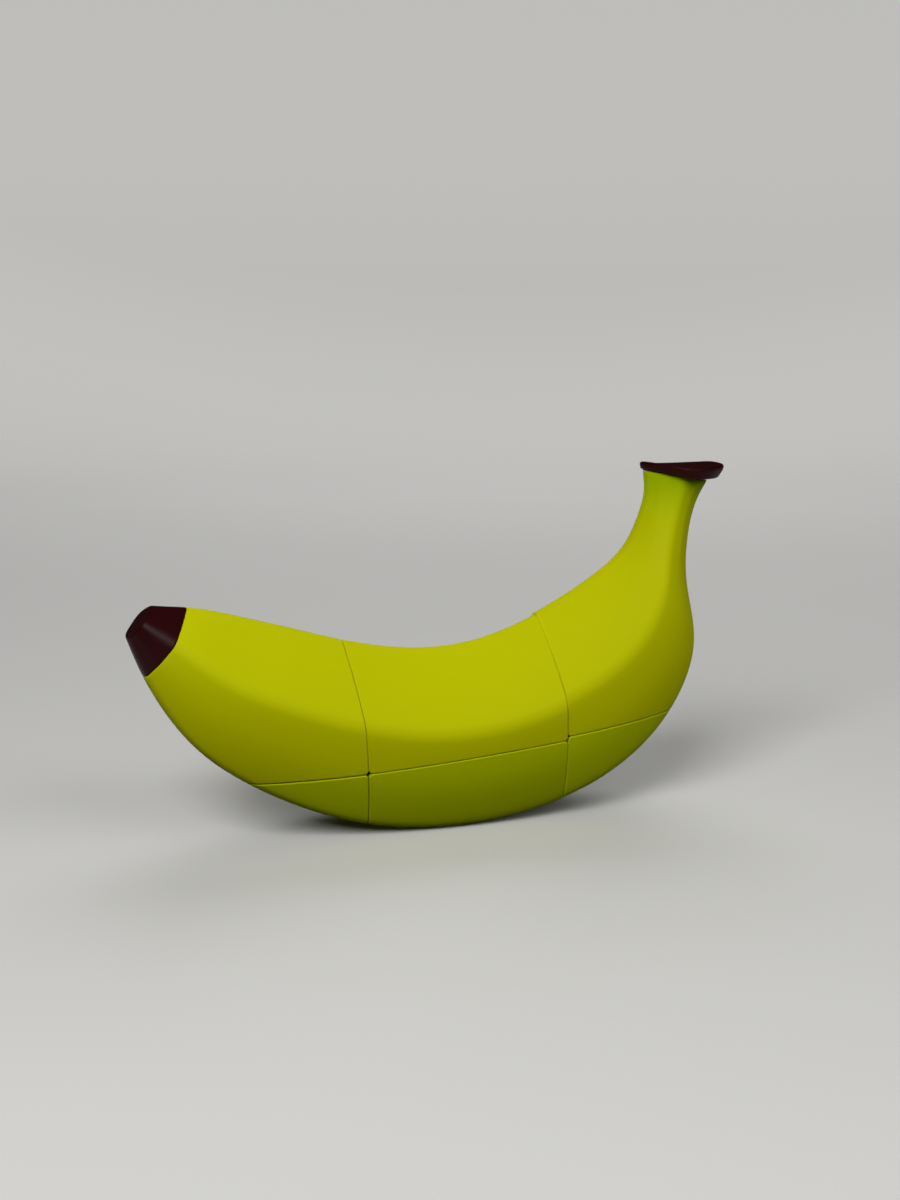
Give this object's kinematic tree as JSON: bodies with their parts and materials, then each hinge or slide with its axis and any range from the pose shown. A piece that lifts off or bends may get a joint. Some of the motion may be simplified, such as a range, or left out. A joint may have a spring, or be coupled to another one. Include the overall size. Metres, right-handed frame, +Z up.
{
  "type": "banana-shaped twist puzzle",
  "caption": "Handheld twist puzzle of moulded plastic shaped like a banana, whose two end layers turn about its length.",
  "frame": {"origin": "on the surface that the puzzle stands on, under the middle of its length and depth", "axes": "+Z up; +X along the length, from the tip to the stem; +Y through the thickness, -Y being the front"},
  "size_m": [0.1715, 0.0452, 0.0993],
  "materials": {
    "yellow_plastic": "moulded ABS, greenish yellow, satin",
    "maroon_plastic": "moulded ABS, dark maroon, satin",
    "black_plastic": "moulded ABS, black, matte",
    "screw_steel": "zinc-plated steel",
    "spring_steel": "bright drawn spring wire"
  },
  "bodies": {
    "middle_layer": {"centre_back": "black_plastic", "centre_bottom": "black_plastic", "centre_front": "black_plastic", "centre_top": "black_plastic", "core": "black_plastic", "screw_back": "screw_steel", "screw_bottom": "screw_steel", "screw_front": "screw_steel", "screw_left": "screw_steel", "screw_right": "screw_steel", "screw_top": "screw_steel", "skin_middle_bottom_back": "yellow_plastic", "skin_middle_bottom_front": "yellow_plastic", "skin_middle_top_back": "yellow_plastic", "skin_middle_top_front": "yellow_plastic", "spring_back": "spring_steel", "spring_bottom": "spring_steel", "spring_front": "spring_steel", "spring_left": "spring_steel", "spring_right": "spring_steel", "spring_top": "spring_steel", "tray_middle_bottom_back": "black_plastic", "tray_middle_bottom_front": "black_plastic", "tray_middle_top_back": "black_plastic", "tray_middle_top_front": "black_plastic"},
    "tip_layer": {"centre_left": "black_plastic", "edge_left_back": "black_plastic", "edge_left_bottom": "black_plastic", "edge_left_front": "black_plastic", "edge_left_top": "black_plastic", "skin_left_bottom_back": "yellow_plastic", "skin_left_bottom_front": "yellow_plastic", "skin_left_top_back": "yellow_plastic", "skin_left_top_front": "yellow_plastic", "tip_back": "maroon_plastic", "tip_front": "maroon_plastic", "tray_left_bottom_back": "black_plastic", "tray_left_bottom_front": "black_plastic", "tray_left_top_back": "black_plastic", "tray_left_top_front": "black_plastic"},
    "stem_layer": {"centre_right": "black_plastic", "edge_right_back": "black_plastic", "edge_right_bottom": "black_plastic", "edge_right_front": "black_plastic", "edge_right_top": "black_plastic", "skin_right_bottom_back": "yellow_plastic", "skin_right_bottom_front": "yellow_plastic", "skin_right_top_back": "yellow_plastic", "skin_right_top_front": "yellow_plastic", "stem_cap_back": "maroon_plastic", "stem_cap_front": "maroon_plastic", "tray_right_bottom_back": "black_plastic", "tray_right_bottom_front": "black_plastic", "tray_right_top_back": "black_plastic", "tray_right_top_front": "black_plastic"}
  },
  "joints": [
    {"name": "tip_layer_turn", "type": "hinge", "parent": "middle_layer", "child": "tip_layer", "pos_m": [0.0038, 0, 0.023], "axis": [0.9965, 0, 0.0837], "continuous": true},
    {"name": "stem_layer_turn", "type": "hinge", "parent": "middle_layer", "child": "stem_layer", "pos_m": [0.0038, 0, 0.023], "axis": [0.9965, 0, 0.0837], "continuous": true}
  ]
}
